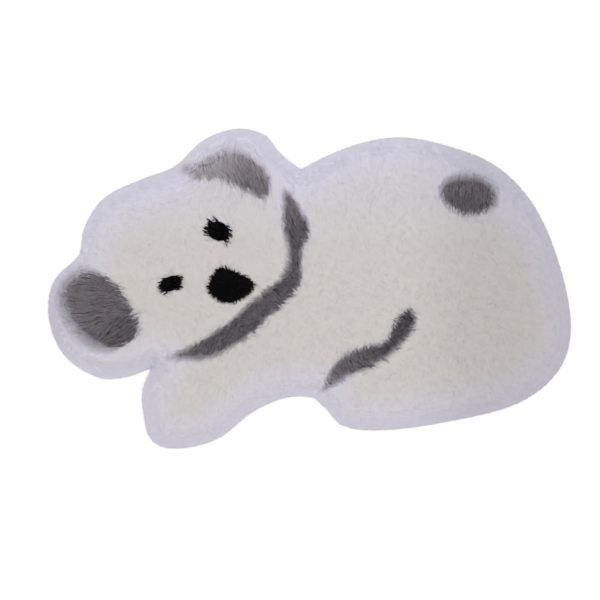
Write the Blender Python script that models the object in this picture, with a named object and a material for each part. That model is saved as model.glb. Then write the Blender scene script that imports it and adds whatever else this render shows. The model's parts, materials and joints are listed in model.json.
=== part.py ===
"""Koala-shaped rug for a child's room, cut and sewn from long-pile fur.

Metres, +Z up. The rug lies flat, with the origin on the floor at the middle of its outline.
+X runs towards the koala's rump and +Y towards its back. The white ground is one piece with a
cut-out for each marking, and the grey and black markings are fur pieces let into those cut-outs.
"""

import math

import bmesh
import bpy
import numpy as np
from mathutils import Vector, noise
from mathutils.geometry import delaunay_2d_cdt, interpolate_bezier

RUG_LENGTH = 0.900
PILE_HEIGHT = 0.022
SEAM_GAP = 0.0003

# The rim, where the pile lies over outwards in locks
SHOULDER_WIDTH = 0.036
SHOULDER_ROUNDNESS = 1.0
TIP_HEIGHT = 0.0015
LOCK_PITCH = 0.0155
LOCK_DEPTH = 0.011
LOCK_SHIFT = 0.25
LOCK_DEPTH_SPREAD = 0.35
LOCK_LEAN = 0.14
LOCK_OUTLINE = (
    # share of the way from the valley to the tip, share of the depth, height
    (0.00, 1.00, 0.0034),
    (0.45, 0.42, 0.0028),
    (1.00, 0.00, TIP_HEIGHT),
    (1.55, 0.38, 0.0028),
)
LOCK_RIDGES = (
    # share of the way from the valley to the tip, share of the depth, lift
    (1.0, 0.42, 0.0012),
    (1.0, 1.45, 0.0010),
    (0.0, 1.75, -0.0012),
    (1.0, 2.60, 0.0006),
)
RIDGE_CLEARANCE = 0.8

# The pile's surface, in broad lumps and small tufts
LUMP_HEIGHT = 0.0030
LUMP_SPACING = 0.070
TUFT_HEIGHT = 0.0024
TUFT_SPACING = 0.026

# How finely the surface is cut up
SURFACE_PITCH = 0.0125
SEAM_PITCH = 0.0085
SEAM_FEWEST = 20
CLEARANCE_SHARE = 0.55
CURVE_STEPS = 12
WELD = 1e-7

# Landmarks round the rug, clockwise from the neck, to the tips of the pile
OUTLINE = (
    # landmark, x, y, corner
    ("notch at the neck", -0.014, 0.204, True),
    ("nape", 0.018, 0.222, False),
    ("shoulders", 0.083, 0.248, False),
    ("top of the back", 0.152, 0.260, False),
    ("back", 0.228, 0.248, False),
    ("lower back", 0.318, 0.213, False),
    ("rump, upper", 0.381, 0.151, False),
    ("rump", 0.423, 0.064, False),
    ("rump, outermost", 0.449, -0.045, False),
    ("seat", 0.443, -0.113, False),
    ("seat, corner", 0.409, -0.164, False),
    ("foot, heel", 0.347, -0.202, False),
    ("foot, sole", 0.235, -0.229, False),
    ("foot, lowest", 0.129, -0.243, False),
    ("toes", 0.058, -0.236, False),
    ("toe, inner side", 0.029, -0.206, False),
    ("belly, right", 0.006, -0.188, False),
    ("belly", -0.040, -0.187, False),
    ("elbow", -0.098, -0.212, False),
    ("forearm", -0.158, -0.258, False),
    ("paw, lowest", -0.228, -0.275, False),
    ("paw", -0.271, -0.262, False),
    ("paw, tip", -0.284, -0.221, False),
    ("paw, upper", -0.287, -0.175, False),
    ("notch under the cheek", -0.269, -0.134, True),
    ("cheek", -0.316, -0.152, False),
    ("lower ear, bottom", -0.362, -0.153, False),
    ("lower ear, lower side", -0.421, -0.115, False),
    ("lower ear, outermost", -0.448, -0.052, False),
    ("lower ear, upper side", -0.440, 0.012, False),
    ("lower ear, root", -0.397, 0.057, False),
    ("brow", -0.387, 0.105, False),
    ("crown, lower", -0.352, 0.156, False),
    ("crown", -0.285, 0.189, False),
    ("upper ear, root", -0.232, 0.209, False),
    ("upper ear, outer side", -0.182, 0.255, False),
    ("upper ear, top", -0.122, 0.275, False),
    ("upper ear, corner", -0.073, 0.262, False),
    ("upper ear, behind the corner", -0.061, 0.245, False),
    ("upper ear, inner side", -0.047, 0.229, False),
)

# Inlays cut round: points of their outlines, clockwise
ROUND_INLAYS = {
    "ear_upper_inlay": (
        # x, y
        (-0.204, 0.196),
        (-0.176, 0.221),
        (-0.138, 0.239),
        (-0.104, 0.229),
        (-0.074, 0.201),
        (-0.066, 0.173),
        (-0.083, 0.157),
        (-0.117, 0.172),
        (-0.160, 0.190),
    ),
    "ear_lower_inlay": (
        (-0.421, -0.004),
        (-0.397, 0.024),
        (-0.367, 0.029),
        (-0.333, 0.006),
        (-0.308, -0.032),
        (-0.293, -0.069),
        (-0.306, -0.093),
        (-0.350, -0.103),
        (-0.391, -0.080),
        (-0.416, -0.042),
    ),
    "nose_inlay": (
        (-0.157, 0.030),
        (-0.149, 0.036),
        (-0.121, 0.025),
        (-0.096, 0.008),
        (-0.110, -0.012),
        (-0.141, -0.024),
        (-0.166, -0.009),
        (-0.173, 0.003),
    ),
}

# Inlays cut to an ellipse
OVAL_INLAYS = {
    # inlay: centre x, centre y, half length, half width, turn of the long side in degrees
    "eye_upper_inlay": (-0.155, 0.098, 0.0205, 0.0165, -35.0),
    "eye_lower_inlay": (-0.237, 0.008, 0.0190, 0.0135, 25.0),
    "tail_patch_inlay": (0.272, 0.160, 0.0480, 0.0330, -10.0),
}

# Inlays cut as a band along a line
BAND_INLAYS = {
    "chin_band_inlay": (
        # x, y, half width
        (-0.041, 0.166, 0.004),
        (-0.035, 0.149, 0.011),
        (-0.030, 0.129, 0.016),
        (-0.023, 0.107, 0.021),
        (-0.022, 0.089, 0.018),
        (-0.025, 0.069, 0.011),
        (-0.026, 0.046, 0.011),
        (-0.029, 0.026, 0.014),
        (-0.041, 0.004, 0.016),
        (-0.064, -0.017, 0.018),
        (-0.088, -0.038, 0.018),
        (-0.109, -0.060, 0.018),
        (-0.133, -0.079, 0.018),
        (-0.160, -0.097, 0.017),
        (-0.189, -0.109, 0.013),
        (-0.216, -0.114, 0.008),
        (-0.241, -0.119, 0.003),
    ),
    "thigh_band_inlay": (
        (0.174, -0.039, 0.006),
        (0.169, -0.054, 0.015),
        (0.159, -0.072, 0.016),
        (0.149, -0.088, 0.013),
        (0.136, -0.103, 0.012),
        (0.117, -0.112, 0.015),
        (0.096, -0.120, 0.018),
        (0.076, -0.128, 0.018),
        (0.058, -0.140, 0.016),
        (0.043, -0.154, 0.012),
        (0.033, -0.166, 0.007),
        (0.027, -0.173, 0.003),
    ),
}

MATERIALS = {
    # material: colour, roughness
    "white_fur": ((0.80, 0.77, 0.76), 0.95),
    "grey_fur": ((0.20, 0.18, 0.19), 0.95),
    "black_fur": ((0.012, 0.012, 0.013), 0.90),
}
INLAY_FUR = {
    "ear_upper_inlay": "grey_fur",
    "ear_lower_inlay": "grey_fur",
    "chin_band_inlay": "grey_fur",
    "thigh_band_inlay": "grey_fur",
    "tail_patch_inlay": "grey_fur",
    "eye_upper_inlay": "black_fur",
    "eye_lower_inlay": "black_fur",
    "nose_inlay": "black_fur",
}


def clear_scene():
    """Removes whatever the file opened with."""
    for obj in list(bpy.data.objects):
        bpy.data.objects.remove(obj)


def make_material(name):
    """A plain fur material of the named colour."""
    colour, roughness = MATERIALS[name]
    material = bpy.data.materials.new(name)
    material.use_nodes = True
    shader = material.node_tree.nodes["Principled BSDF"]
    shader.inputs["Base Color"].default_value = (*colour, 1.0)
    shader.inputs["Roughness"].default_value = roughness
    shader.inputs["Metallic"].default_value = 0.0
    return material


def unit(vector):
    """The vector at length 1, row by row."""
    return vector / np.linalg.norm(vector, axis=-1, keepdims=True)


def smooth_loop(points, corners=None):
    """A closed curve through the points, as Bezier spans with automatic handles, sharp at corners."""
    points = np.array(points, float)
    corners = corners or [False] * len(points)
    tangent = unit(np.roll(points, -1, axis=0) - np.roll(points, 1, axis=0))
    curve = []
    for here, point in enumerate(points):
        after = (here + 1) % len(points)
        span = points[after] - point
        reach = np.linalg.norm(span) / 3
        leave = unit(span) if corners[here] else tangent[here]
        arrive = unit(span) if corners[after] else tangent[after]
        ends = (point, point + leave * reach, points[after] - arrive * reach, points[after])
        curve += interpolate_bezier(*(Vector(end) for end in ends), CURVE_STEPS + 1)[:-1]
    return np.array([tuple(point) for point in curve])


def arc_lengths(loop):
    """How far along a closed loop each of its points lies, with the whole length last."""
    steps = np.linalg.norm(np.roll(loop, -1, axis=0) - loop, axis=1)
    return np.concatenate([[0.0], np.cumsum(steps)])


def along(loop, places):
    """The points at these arc lengths of a closed loop."""
    lengths = arc_lengths(loop)
    closed = np.vstack([loop, loop[:1]])
    places = np.asarray(places) % lengths[-1]
    return np.column_stack([np.interp(places, lengths, closed[:, axis]) for axis in (0, 1)])


def evenly_spaced(loop):
    """The closed loop with its points about one seam pitch apart, but never too few of them."""
    length = arc_lengths(loop)[-1]
    count = max(round(length / SEAM_PITCH), SEAM_FEWEST)
    return along(loop, np.arange(count) * length / count)


def inward(loop, places):
    """The unit normals that point into a clockwise loop, at these arc lengths."""
    half_step = SURFACE_PITCH / 4
    run = unit(along(loop, np.asarray(places) + half_step) - along(loop, np.asarray(places) - half_step))
    return np.column_stack([run[:, 1], -run[:, 0]])


def oval(centre_x, centre_y, half_length, half_width, turn):
    """A tilted ellipse, clockwise."""
    angle = -np.linspace(0, 2 * math.pi, 8 * CURVE_STEPS, endpoint=False)
    x, y = half_length * np.cos(angle), half_width * np.sin(angle)
    cos, sin = math.cos(math.radians(turn)), math.sin(math.radians(turn))
    return np.column_stack([centre_x + x * cos - y * sin, centre_y + x * sin + y * cos])


def band(rows):
    """The outline of a band that follows a line of points, each with its own half width."""
    rows = np.array(rows)
    line, half_width = rows[:, :2], rows[:, 2:]
    run = unit(np.gradient(line, axis=0))
    side = np.column_stack([-run[:, 1], run[:, 0]])
    left, right = line + side * half_width, line - side * half_width
    start, end = line[:1] - run[:1] * half_width[0], line[-1:] + run[-1:] * half_width[-1]
    return smooth_loop(np.vstack([start, left, end, right[::-1]]))


def clockwise(loop):
    """The loop, turned round if it runs anticlockwise."""
    after = np.roll(loop, -1, axis=0)
    area = (loop[:, 0] * after[:, 1] - loop[:, 1] * after[:, 0]).sum()
    return loop[::-1] if area > 0 else loop


def inside(loop, points):
    """Which of the points lie inside the loop, by counting the sides crossed to the right."""
    after = np.roll(loop, -1, axis=0)
    x, y = points[:, :1], points[:, 1:]
    spans = (loop[:, 1] > y) != (after[:, 1] > y)
    rise = np.where(after[:, 1] == loop[:, 1], 1.0, after[:, 1] - loop[:, 1])
    crossing = loop[:, 0] + (y - loop[:, 1]) * (after[:, 0] - loop[:, 0]) / rise
    return (spans & (x < crossing)).sum(axis=1) % 2 == 1


def distance(loop, points):
    """How far each point lies from the nearest side of the loop."""
    side = np.roll(loop, -1, axis=0) - loop
    to_point = points[:, None] - loop
    share = np.clip((to_point * side).sum(-1) / (side * side).sum(-1), 0, 1)
    return np.linalg.norm(to_point - share[..., None] * side, axis=-1).min(axis=1)


def uneven(count, seed):
    """Fixed, irregular values between -1 and 1."""
    return np.sin(12.9898 * np.arange(1, count + 1) + 78.233 * seed) * 4375.85 % 1.0 * 2 - 1


def pile_heights(points, rim):
    """The height of the pile: up the round shoulder from the rim, then flat with lumps and tufts."""
    inset = distance(rim, points)
    rise = np.sin(0.5 * math.pi * np.clip(inset / SHOULDER_WIDTH, 0, 1)) ** SHOULDER_ROUNDNESS
    lumps = [LUMP_HEIGHT * noise.noise(Vector((x, y, 0.0)) / LUMP_SPACING) for x, y in points]
    tufts = [TUFT_HEIGHT * noise.noise(Vector((x, y, 0.3)) / TUFT_SPACING) for x, y in points]
    return TIP_HEIGHT + (PILE_HEIGHT - TIP_HEIGHT + np.array(lumps) + np.array(tufts)) * rise


def lock_places(share, starts, widths, lean):
    """Where along the rim each lock has a point: share 0 is its valley, 1 its tip, 2 the next valley."""
    to_tip, past_tip = min(share, 1.0), max(share - 1.0, 0.0)
    return starts + widths * (lean * to_tip + (1 - lean) * past_tip)


def rim_locks(rim):
    """Each lock's valley, width and lean, and the loop of points round all of them with its heights."""
    length = arc_lengths(rim)[-1]
    count = round(length / LOCK_PITCH)
    starts = (np.arange(count) + LOCK_SHIFT * uneven(count, 1)) * length / count
    widths = np.diff(np.append(starts, starts[0] + length))
    lean = 0.5 + LOCK_LEAN * uneven(count, 2)
    depth = LOCK_DEPTH * (1 + LOCK_DEPTH_SPREAD * uneven(count, 3))
    rows = [(lock_places(share, starts, widths, lean), part * depth) for share, part, _ in LOCK_OUTLINE]
    places = np.column_stack([place for place, _ in rows]).ravel()
    insets = np.column_stack([inset for _, inset in rows]).ravel()
    loop = along(rim, places) + inward(rim, places) * insets[:, None]
    heights = np.tile([height for _, _, height in LOCK_OUTLINE], count)
    return (starts, widths, lean), loop, heights


def lock_ridges(rim, locks):
    """Points that raise a ridge behind each lock's tip and sink the groove beside it, with their lifts."""
    points, lifts = [], []
    for share, part, lift in LOCK_RIDGES:
        inset = part * LOCK_DEPTH
        places = lock_places(share, *locks)
        row = along(rim, places) + inward(rim, places) * inset
        row = row[distance(rim, row) > RIDGE_CLEARANCE * inset]
        points.append(row)
        lifts.append(np.full(len(row), lift))
    return np.vstack(points), np.concatenate(lifts)


def surface_grid(loop, holes, taken):
    """Points in even triangles between a loop and its holes, clear of both and of the points taken."""
    low, high = loop.min(axis=0), loop.max(axis=0)
    rows = np.arange(low[1], high[1], SURFACE_PITCH * math.sqrt(0.75))
    columns = np.arange(low[0], high[0], SURFACE_PITCH)
    x, y = np.meshgrid(columns, rows)
    x += SURFACE_PITCH / 2 * (np.arange(len(rows)) % 2)[:, None]
    points = np.column_stack([x.ravel(), y.ravel()])
    points = points[inside(loop, points)]
    for hole in holes:
        points = points[~inside(hole, points)]
    for other in (loop, *holes):
        points = points[distance(other, points) > CLEARANCE_SHARE * SURFACE_PITCH]
    for point in taken:
        points = points[np.linalg.norm(points - point, axis=1) > CLEARANCE_SHARE * SURFACE_PITCH]
    return points


def triangulated(loops, inner_points):
    """Triangles between an outer loop and its holes, through the inner points, as point numbers."""
    points = np.vstack([*loops, inner_points])
    sides, first = [], 0
    for loop in loops:
        numbers = first + np.arange(len(loop))
        sides += list(zip(numbers.tolist(), np.roll(numbers, -1).tolist()))
        first += len(loop)
    inputs = [Vector(point) for point in points]
    _, _, faces, origins, _, _ = delaunay_2d_cdt(inputs, sides, [], 1, WELD)
    faces = np.array([[origins[corner][0] for corner in face] for face in faces])
    centres = points[faces].mean(axis=1)
    for hole in loops[1:]:
        outside = ~inside(hole, centres)
        faces, centres = faces[outside], centres[outside]
    return faces.tolist(), sides


def fur_solid(name, loops, inner_points, heights, material, collection):
    """One fur piece: its pile's surface over a flat underside, closed by a low wall at each loop."""
    edge_count = sum(len(loop) for loop in loops)
    points = np.vstack([*loops, inner_points])
    top_faces, sides = triangulated(loops, inner_points)
    base_faces, _ = triangulated(loops, np.empty((0, 2)))
    form = bmesh.new()
    top = [form.verts.new((x, y, z)) for (x, y), z in zip(points, heights)]
    base = [form.verts.new((x, y, 0.0)) for x, y in points[:edge_count]]
    for face in top_faces:
        form.faces.new([top[corner] for corner in face])
    for face in base_faces:
        form.faces.new([base[corner] for corner in face])
    for a, b in sides:
        form.faces.new((base[a], base[b], top[b], top[a]))
    bmesh.ops.recalc_face_normals(form, faces=form.faces)
    mesh = bpy.data.meshes.new(name)
    form.to_mesh(mesh)
    form.free()
    mesh.materials.append(material)
    mesh.shade_smooth()
    mesh.set_sharp_from_angle(angle=math.radians(60))
    obj = bpy.data.objects.new(name, mesh)
    collection.objects.link(obj)
    return obj


def inlay_outlines():
    """The cut line of every inlay, by name, clockwise and evenly spaced."""
    loops = {name: smooth_loop(points) for name, points in ROUND_INLAYS.items()}
    loops |= {name: oval(*sizes) for name, sizes in OVAL_INLAYS.items()}
    loops |= {name: band(rows) for name, rows in BAND_INLAYS.items()}
    return {name: evenly_spaced(clockwise(loop)) for name, loop in loops.items()}


def shrunk(loop, by):
    """The clockwise loop, moved inwards along the normals at its points."""
    run = unit(np.roll(loop, -1, axis=0) - np.roll(loop, 1, axis=0))
    return loop + by * np.column_stack([run[:, 1], -run[:, 0]])


def build_rug():
    """The white ground and every inlay, all resting on the floor."""
    rim = smooth_loop([row[1:3] for row in OUTLINE], [row[3] for row in OUTLINE])
    middle = (rim.min(axis=0) + rim.max(axis=0)) / 2
    size = RUG_LENGTH / np.ptp(rim[:, 0])
    rim = (rim - middle) * size
    cut_lines = {name: (loop - middle) * size for name, loop in inlay_outlines().items()}

    collection = bpy.data.collections.new("koala_rug")
    bpy.context.scene.collection.children.link(collection)
    materials = {name: make_material(name) for name in MATERIALS}

    holes = list(cut_lines.values())
    locks, edge, edge_heights = rim_locks(rim)
    ridges, lifts = lock_ridges(rim, locks)
    for hole in holes:
        clear = distance(hole, ridges) > CLEARANCE_SHARE * SURFACE_PITCH
        ridges, lifts = ridges[clear], lifts[clear]
    spread = surface_grid(edge, holes, ridges)
    heights = np.concatenate([
        edge_heights,
        pile_heights(np.vstack(holes), rim),
        pile_heights(ridges, rim) + lifts,
        pile_heights(spread, rim),
    ])
    inner_points = np.vstack([ridges, spread])
    fur_solid("white_ground", [edge, *holes], inner_points, heights, materials["white_fur"], collection)

    for name, cut_line in cut_lines.items():
        edge = shrunk(cut_line, SEAM_GAP)
        spread = surface_grid(edge, [], [])
        heights = pile_heights(np.vstack([edge, spread]), rim)
        fur_solid(name, [edge], spread, heights, materials[INLAY_FUR[name]], collection)


clear_scene()
build_rug()
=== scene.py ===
import json
import math

import bpy
import numpy as np
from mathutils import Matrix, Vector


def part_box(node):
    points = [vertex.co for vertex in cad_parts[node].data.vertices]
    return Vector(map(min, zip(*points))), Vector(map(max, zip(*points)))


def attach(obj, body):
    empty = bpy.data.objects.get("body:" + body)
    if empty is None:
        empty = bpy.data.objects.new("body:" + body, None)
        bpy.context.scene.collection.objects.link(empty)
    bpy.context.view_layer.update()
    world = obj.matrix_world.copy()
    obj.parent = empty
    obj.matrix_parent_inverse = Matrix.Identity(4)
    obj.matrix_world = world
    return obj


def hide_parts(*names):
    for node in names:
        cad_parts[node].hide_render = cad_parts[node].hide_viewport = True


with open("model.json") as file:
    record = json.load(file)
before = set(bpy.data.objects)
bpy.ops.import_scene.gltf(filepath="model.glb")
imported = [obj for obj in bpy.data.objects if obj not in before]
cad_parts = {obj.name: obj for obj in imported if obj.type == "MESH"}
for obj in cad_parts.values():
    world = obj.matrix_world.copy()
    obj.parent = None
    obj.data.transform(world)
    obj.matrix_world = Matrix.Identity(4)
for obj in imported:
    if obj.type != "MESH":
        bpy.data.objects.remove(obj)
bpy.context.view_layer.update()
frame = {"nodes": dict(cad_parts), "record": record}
print("frame loaded:", len(frame["nodes"]), "solids")

# The rug lies flat, seen from straight above. Every piece of fur is a low bed on its solid's form,
# and the strands of its pile, which rise from the bed and end at the solid's surface.
slotOfNode = {row["node"]: row["material_slot"] for row in frame["record"]["subparts"]}
greyParts = [name for name, slot in slotOfNode.items() if slot == "grey_fur"]
blackParts = [name for name, slot in slotOfNode.items() if slot == "black_fur"]


# How closely the solids' corners are matched, and which of them stand on the floor
matching = {
    "cornersPerMetre": 1e5,
    "finePerMetre": 1e6,
    "upright": 0.02,  # a wall's normal points up or down by less than this
    "foot": 1e-5,
    "pairing": (1, 1000000),  # makes one number of a corner's two
}


# Each row's vector divided by its length
def unit(rows):
    return rows / np.maximum(np.linalg.norm(rows, axis=-1, keepdims=True), 1e-9)


# Smooth random waves about one spacing long: a sum of cosines with fixed random headings and starts
def waves(points, spacing, seed, count=24, lengths=(0.7, 1.5)):
    rng = np.random.default_rng(seed)
    heading = rng.uniform(0, 2 * math.pi, count)
    step = 2 * math.pi / (spacing * rng.uniform(*lengths, count))
    start = rng.uniform(0, 2 * math.pi, count)
    ways = np.stack([np.cos(heading), np.sin(heading)]) * step
    return np.cos(points @ ways + start).sum(axis=1) / math.sqrt(count / 2)


# A solid's triangles, as an array of triangle by corner by axis
def solidTriangles(name):
    mesh = frame["nodes"][name].data
    mesh.calc_loop_triangles()
    places = np.empty(len(mesh.vertices) * 3, np.float32)
    mesh.vertices.foreach_get("co", places)
    order = np.empty(len(mesh.loop_triangles) * 3, np.int32)
    mesh.loop_triangles.foreach_get("vertices", order)
    return places.reshape(-1, 3)[order].reshape(-1, 3, 3).astype(float)


# A solid's loops on the floor: walks round the feet of its upright walls, from each corner to the
# next. Gives each loop's points and how high the wall stands there
def footLoops(name):
    triangles = solidTriangles(name)
    across = np.cross(triangles[:, 1] - triangles[:, 0], triangles[:, 2] - triangles[:, 0])
    walls = triangles[np.abs(unit(across)[:, 2]) < matching["upright"]]
    corners = walls.reshape(-1, 3)
    keys = np.round(corners[:, :2] * matching["cornersPerMetre"]).astype(int)
    _, first, number = np.unique(keys, axis=0, return_index=True, return_inverse=True)
    number = number.reshape(-1)
    height = np.zeros(len(first))
    np.maximum.at(height, number, corners[:, 2])
    feet = (walls[:, :, 2] < matching["foot"]).sum(axis=1) == 2
    rows, top = number.reshape(-1, 3)[feet], walls[feet][:, :, 2].argmax(axis=1)
    here = np.take_along_axis(rows, (top[:, None] + 1) % 3, 1).ravel().tolist()
    there = np.take_along_axis(rows, (top[:, None] + 2) % 3, 1).ravel().tolist()
    following, left, loops = dict(zip(here, there)), set(here), []
    while left:
        loop = [left.pop()]
        while following[loop[-1]] != loop[0]:
            loop.append(following[loop[-1]])
        left -= set(loop)
        loops.append((corners[first[loop], :2], height[loop]))
    return loops


# How far each row's second vector points to the left of its first
def leftOf(first, second):
    return first[:, 0] * second[:, 1] - first[:, 1] * second[:, 0]


# How the pile goes at the rim
rimPile = {
    "width": 0.030,  # how far in from the outline the pile starts to turn outwards
    "pull": 1.5,  # how strongly it turns there, against the comb's 1
    "widthSpread": 0.008,  # how far the width differs between tufts, in all
    "leastReach": 0.65,  # the share of its reach that a strand keeps where comb and rim disagree
    "lowest": 0.0008,  # how low a bend or a tip may lie
    "overhang": 0.0018,  # how far a tip may pass the outline
    "evenFrom": 0.012,  # the pile hides the locks up to here, and follows the lumps from evenTo on
    "evenTo": 0.042,
    "evenStep": 0.002,
    "evenReach": 0.0015,
    "evenPercentile": 75,
    "tipHeight": 0.0001,  # a lock's tip is where the wall is within this of its lowest
    "notchTurn": 0.4,  # the sine of the turn from which the outline has a notch, and its least depth
    "notchDepth": 0.0015,
}


# The rug's outline: the ground's longest loop, through the tips of its locks, where its wall is lowest.
# Where two sides with one between them turn sharply inwards, at a notch, both run on until they meet
def rimOutline():
    points, wall = max(footLoops("white_ground"), key=lambda loop: len(loop[0]))
    tip = points[wall < wall.min() + rimPile["tipHeight"]]
    side = unit(tip - np.roll(tip, 1, axis=0))
    over, back = np.roll(tip, -1, axis=0) - tip, -np.roll(side, -2, axis=0)
    turn = leftOf(side, back)
    inwards = -np.sign(np.median(leftOf(side, -np.roll(side, -1, axis=0))))
    run = leftOf(over, back) / np.where(turn == 0, 1, turn)
    corner = tip + side * run[:, None]
    deep = np.abs(leftOf(unit(over), corner - tip)) > rimPile["notchDepth"]
    sharp = (inwards * turn > rimPile["notchTurn"]) & (run > 0) & deep
    rows = [[point, corner[here]] if sharp[here] else [point] for here, point in enumerate(tip)]
    return np.array(sum(rows, []))


# Distance of each point from a loop's nearest side, positive inside, and the unit way out
def fromLoop(points, loop, atOnce=20000):
    side = np.roll(loop, -1, axis=0) - loop
    end = loop + side
    far, way = np.empty(len(points)), np.empty((len(points), 2))
    for part in np.array_split(np.arange(len(points)), max(1, len(points) // atOnce)):
        toPoint = points[part, None] - loop
        share = np.clip((toPoint * side).sum(-1) / (side * side).sum(-1), 0, 1)
        gap = share[..., None] * side - toPoint
        span = np.einsum("ijk,ijk->ij", gap, gap)
        nearest = span.argmin(axis=1)
        rows = np.arange(len(part))
        y = points[part, 1:]
        spans = (loop[:, 1] > y) != (end[:, 1] > y)
        slope = side[:, 0] / np.where(side[:, 1] == 0, 1e-12, side[:, 1])
        crossing = loop[:, 0] + (y - loop[:, 1]) * slope
        inside = (spans & (points[part, :1] < crossing)).sum(axis=1) % 2 == 1
        sign = np.where(inside, 1.0, -1.0)
        far[part] = sign * np.sqrt(span[rows, nearest])
        way[part] = sign[:, None] * unit(gap[rows, nearest])
    return far, way


# Points scattered evenly over the triangles that face up: each gets its share by floor area
def scatter(triangles, density, rng, leastArea=1e-9):
    first, second = triangles[:, 1] - triangles[:, 0], triangles[:, 2] - triangles[:, 0]
    area = (first[:, 0] * second[:, 1] - first[:, 1] * second[:, 0]) / 2
    triangles, area = triangles[area > leastArea], area[area > leastArea]
    number = np.floor(area * density + rng.random(len(area))).astype(int)
    chosen = np.repeat(triangles, number, axis=0)
    a, b = rng.random((2, len(chosen), 1))
    a, b = np.where(a + b > 1, 1 - a, a), np.where(a + b > 1, 1 - b, b)
    return chosen[:, 0] + a * (chosen[:, 1] - chosen[:, 0]) + b * (chosen[:, 2] - chosen[:, 0])


# What steers the pile is worked out once, on the cells of a square grid over the rug
grid = {
    "cell": 0.003,
    "margin": 0.030,
    "samples": 2.4e6,  # points in a square metre from which the heights are read
    "seed": 5,
    "outside": 0.001,  # the height beyond the rug
}
boxes = np.array([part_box(name) for name in frame["nodes"]])
gridLow = boxes[:, 0, :2].min(axis=0) - grid["margin"]
gridHigh = boxes[:, 1, :2].max(axis=0) + grid["margin"]
gridShape = np.ceil((gridHigh - gridLow) / grid["cell"]).astype(int)
gridCells = (np.indices(gridShape).reshape(2, -1).T + 0.5) * grid["cell"] + gridLow


# The pile's surface: the mean height in each cell of points scattered over the solids' upper sides
def surfaceHeights():
    rng = np.random.default_rng(grid["seed"])
    found = [scatter(solidTriangles(name), grid["samples"], rng) for name in frame["nodes"]]
    points = np.vstack(found)
    place = ((points[:, :2] - gridLow) / grid["cell"]).astype(int)
    flat = place[:, 0] * gridShape[1] + place[:, 1]
    total = np.bincount(flat, points[:, 2], gridShape.prod())
    number = np.bincount(flat, minlength=gridShape.prod())
    return np.where(number > 0, total / np.maximum(number, 1), grid["outside"])


# The same heights with the locks of the rim filled in: near the outline, the height that most of the
# cells at the same distance stay under
def evenedHeights(heights, far):
    steps = np.arange(0.0, rimPile["evenTo"] + 2 * rimPile["evenStep"], rimPile["evenStep"])
    rings = [heights[np.abs(far - step) < rimPile["evenReach"]] for step in steps]
    tops = [np.percentile(ring, rimPile["evenPercentile"]) for ring in rings]
    even = np.where(far > 0, np.interp(far, steps, tops), grid["outside"])
    share = smoothRise(far, rimPile["evenFrom"], rimPile["evenTo"])
    return even * (1 - share) + heights * share


# Values at points from guides that lie about: each guide's values, weighed by one over the square of the
# sum of its squared distance and the squared falloff
def guided(points, guides, values, falloff):
    spans = ((points[:, None] - guides[:, :2]) ** 2).sum(-1)
    weight = (spans + falloff ** 2) ** -2.0
    return weight @ values / weight.sum(axis=1, keepdims=True)


# Turns rows of plane vectors by the same number of angles, in degrees
def turned(way, degrees):
    cos, sin = np.cos(np.radians(degrees)), np.sin(np.radians(degrees))
    return np.column_stack([way[:, 0] * cos - way[:, 1] * sin, way[:, 0] * sin + way[:, 1] * cos])


# Where the pile is combed, with a heading in degrees from +X towards +Y, and how far it strays
combing = {
    "falloff": 0.035,
    "slowWave": 0.060,  # how long the waves are by which the pile strays, and their seeds
    "quickWave": 0.022,
    "quickShare": 0.8,
    "seeds": (41, 42),
    "guides": (
        # x, y, heading, stray
        (-0.19, 0.24, -75, 8),  # upper ear
        (-0.13, 0.24, -70, 8),
        (-0.08, 0.20, -68, 8),
        (-0.10, 0.16, -70, 12),
        (-0.41, 0.01, -12, 8),  # lower ear
        (-0.37, -0.04, 8, 8),
        (-0.36, -0.10, 38, 8),
        (-0.31, -0.07, 28, 8),
        (-0.32, 0.01, -20, 10),
        (-0.30, 0.12, 175, 14),  # forehead
        (-0.22, 0.15, 170, 14),
        (-0.17, 0.10, 150, 16),  # brow over the upper eye
        (-0.15, 0.09, 160, 20),
        (-0.12, 0.09, 10, 20),
        (-0.25, 0.01, 205, 14),  # lower eye
        (-0.23, 0.01, 20, 14),
        (-0.15, 0.00, 190, 20),  # nose
        (-0.11, 0.01, -30, 18),
        (-0.22, -0.06, 150, 22),  # cheek
        (-0.03, 0.14, -70, 10),  # chin band
        (-0.02, 0.08, -60, 12),
        (-0.03, 0.03, -40, 16),
        (-0.06, -0.02, -15, 40),
        (-0.10, -0.05, 35, 40),
        (-0.16, -0.10, 50, 10),
        (-0.23, -0.12, 40, 10),
        (0.04, 0.06, -25, 22),  # shoulder, fanning out from the chin
        (0.03, 0.14, -60, 18),
        (0.05, -0.03, -35, 45),
        (-0.10, -0.16, -95, 20),  # forearm
        (-0.22, -0.20, -120, 16),
        (0.08, 0.20, -80, 22),  # back
        (0.16, 0.12, -60, 40),
        (0.16, 0.02, -10, 55),
        (0.19, -0.05, 165, 16),  # thigh band
        (0.13, -0.10, 140, 16),
        (0.06, -0.14, 125, 16),
        (0.04, -0.10, 100, 40),
        (0.27, 0.17, -90, 8),  # tail patch
        (0.28, 0.11, -80, 18),
        (0.34, 0.02, 5, 22),  # rump
        (0.40, -0.04, 0, 12),
        (0.30, -0.12, -50, 22),  # haunch
        (0.20, -0.17, -70, 26),
        (0.12, -0.20, -90, 20),
    ),
}


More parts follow.
